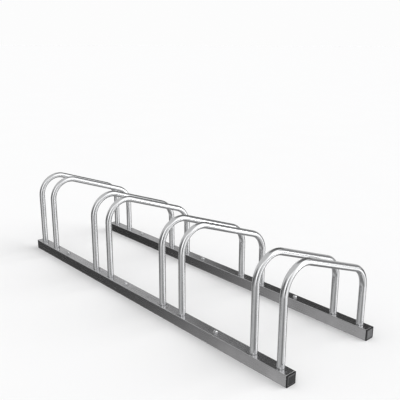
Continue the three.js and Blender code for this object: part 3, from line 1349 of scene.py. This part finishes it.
@dataclass(frozen=True)
class Panel:
    """A soft light or a dark flag round the rack: a round patch with a soft edge.

    Angles are in degrees. The tone is full inside the core and has gone at the edge.
    """

    azimuth: float
    elevation: float
    core: float
    edge: float
    tone: float

    def over(self, tone: Signal | float, direction: bpy.types.NodeSocket, bench: NodeBench) -> Signal:
        """Lays the panel over what is there already.

        Args:
            tone: The tone without the panel.
            direction: The direction in which a ray leaves.
            bench: The bench of the world's node tree.

        Returns:
            The tone with the panel.
        """
        sockets = {0: direction, 1: towards(self.azimuth, self.elevation)}
        facing = bench.node("ShaderNodeVectorMath", {"operation": "DOT_PRODUCT"}, sockets)
        angle = Signal(bench, facing.outputs["Value"]).math("ARCCOSINE")
        share = angle.ramp(radians(self.edge), radians(self.core))
        return tone + share * (self.tone - tone)


@dataclass
class Studio:
    """A pale floor, a soft key light, the panels round the rack, and the camera."""

    backdrop: float = 0.975
    dome: float = 0.545
    fill: Panel = Panel(azimuth=-100, elevation=25, core=20, edge=90, tone=1.15)
    surround: float = 0.55
    panels: Sequence[Panel] = (
        Panel(azimuth=-130, elevation=-90, core=44, edge=66, tone=0.197),
        Panel(azimuth=-52, elevation=-36, core=12, edge=25, tone=0.32),
        Panel(azimuth=-20, elevation=-44, core=16, edge=36, tone=0.167),
        Panel(azimuth=-36, elevation=15, core=21, edge=45, tone=1.42),
        Panel(azimuth=-108, elevation=13, core=12, edge=38, tone=0.126),
        Panel(azimuth=-146, elevation=-13, core=11, edge=27, tone=0.012),
        Panel(azimuth=159, elevation=-33, core=21, edge=36, tone=0.34),
        Panel(azimuth=47, elevation=-23, core=8, edge=33, tone=1.49),
        Panel(azimuth=24, elevation=7, core=42, edge=49, tone=0.93),
        Panel(azimuth=53, elevation=20, core=25, edge=45, tone=1.31),
        Panel(azimuth=111, elevation=43, core=25, edge=32, tone=0.16),
        Panel(azimuth=78, elevation=-19, core=13, edge=20, tone=0.016),
        Panel(azimuth=-24, elevation=16, core=11, edge=29, tone=0.43),
        Panel(azimuth=-31, elevation=-6, core=8, edge=25, tone=0.029),
        Panel(azimuth=77, elevation=14, core=9, edge=32, tone=0.20),
        Panel(azimuth=6, elevation=-49, core=22, edge=26, tone=0.57),
        Panel(azimuth=124, elevation=22, core=11, edge=16, tone=0.04),
        Panel(azimuth=-112, elevation=-21, core=8, edge=19, tone=0.199),
        Panel(azimuth=-123, elevation=-33, core=5, edge=15, tone=0.60),
        Panel(azimuth=46, elevation=-3, core=6, edge=10, tone=5.0),
    )
    key_azimuth: float = 45.0
    key_elevation: float = 37.0
    key_spread: float = 55.0
    key_strength: float = 1.8
    floor_radius: float = 60.0
    floor_sides: int = 96
    eye: Vector = field(default_factory=lambda: Vector((1.24306, -1.01516, 0.71517)))
    gaze: Vector = field(default_factory=lambda: Vector((-0.7183, 0.6412, -0.2699)))
    roll: float = radians(0.19)
    lens: float = 51.83
    sensor: float = 36.0

    def build(self) -> None:
        """Makes the floor, the lights and the camera."""
        self.build_floor()
        self.build_world()
        self.build_key()
        self.build_camera()
        bpy.context.scene.view_settings.view_transform = "Standard"

    def build_floor(self) -> None:
        """Makes the floor, which the metal doesn't mirror."""
        blank = Blank()
        rim = circle(self.floor_radius, 0.0, self.floor_sides)
        blank.mesh.faces.new([blank.mesh.verts.new(point) for point in rim])
        floor = blank.piece("studio_floor")
        floor.data.materials.append(material_of(StudioFloor()))
        floor.visible_glossy = False

    def build_world(self) -> None:
        """Makes the surround: plain for the eye, an even dome for matt faces, panels for the metal."""
        world = bpy.data.worlds.new("studio_surround")
        world.use_nodes = True
        world.cycles.sampling_method = "NONE"
        bench = NodeBench(world.node_tree)
        direction = bench.node("ShaderNodeTexCoord").outputs["Generated"]
        tone: Signal | float = self.surround
        for panel in self.panels:
            tone = panel.over(tone, direction, bench)
        even = self.fill.over(self.dome, direction, bench)
        rays = bench.node("ShaderNodeLightPath")
        seen = Signal(bench, rays.outputs["Is Camera Ray"])
        mirrored = Signal(bench, rays.outputs["Is Glossy Ray"])
        light = seen * self.backdrop + mirrored * tone + (1 - seen - mirrored) * even
        white = (1.0, 1.0, 1.0, 1.0)
        surround = bench.node("ShaderNodeBackground", sockets={"Color": white, "Strength": light})
        bench.node("ShaderNodeOutputWorld", sockets={"Surface": surround.outputs["Background"]})
        bpy.context.scene.world = world

    def build_key(self) -> None:
        """Makes the key light, which comes from the right and the back and falls evenly."""
        light = bpy.data.lights.new("soft_key", "SUN")
        light.angle = radians(self.key_spread)
        light.energy = self.key_strength
        key = bpy.data.objects.new("soft_key", light)
        source = towards(self.key_azimuth, self.key_elevation)
        key.rotation_euler = source.to_track_quat("Z", "Y").to_euler()
        key.visible_glossy = False
        bpy.context.scene.collection.objects.link(key)

    def build_camera(self) -> None:
        """Makes the camera at the angle from which the rack is seen."""
        camera = bpy.data.cameras.new("camera")
        camera.lens = self.lens
        camera.sensor_width = self.sensor
        eye = bpy.data.objects.new("camera", camera)
        level = self.gaze.to_track_quat("-Z", "Y").to_matrix()
        view = level @ Matrix.Rotation(self.roll, 3, "Z")
        eye.matrix_world = Matrix.Translation(self.eye) @ view.to_4x4()
        bpy.context.scene.collection.objects.link(eye)
        bpy.context.scene.camera = eye


# ---- the rack


def centre_x(node: str) -> float:
    """The middle of a node along X."""
    low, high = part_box(node)
    return (low.x + high.x) / 2


def numbers(stem: str) -> list[int]:
    """The numbers of the nodes whose names are a stem and a number."""
    found = (name.removeprefix(stem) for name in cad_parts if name.startswith(stem))
    return sorted(int(rest) for rest in found if rest.isdigit())


def sub_assemblies() -> Iterator[SubAssembly]:
    """Everything that the rack is made of, the rails and what is in them first.

    Yields:
        One sub-assembly after another.
    """
    hoops = numbers("hoop_")
    for row in Row:
        screws = numbers(f"{row.value}_floor_screw_")
        yield Rail(
            row,
            legs=[centre_x(f"hoop_{number}") for number in hoops],
            floor_screws=[centre_x(f"{row.value}_floor_screw_{number}") for number in screws],
        )
        for end in End:
            yield EndPlug(row, end)
        for number in screws:
            steps = 2 * number + int(row is Row.REAR)
            yield FloorScrew(row, number, head_turn=radians(HEAD_TURN_DEGREES * steps))
        for number in hoops:
            yield LegFixing(row, number)
    for number in hoops:
        yield Hoop(number)


def main() -> None:
    """Builds the studio and the rack, and keeps the boxes before and after."""
    logging.basicConfig(level=logging.INFO, format="%(message)s")
    Studio().build()
    for assembly in sub_assemblies():
        assembly.build()
        assembly.dress()
        assembly.fit()


if __name__ == "__main__":
    main()
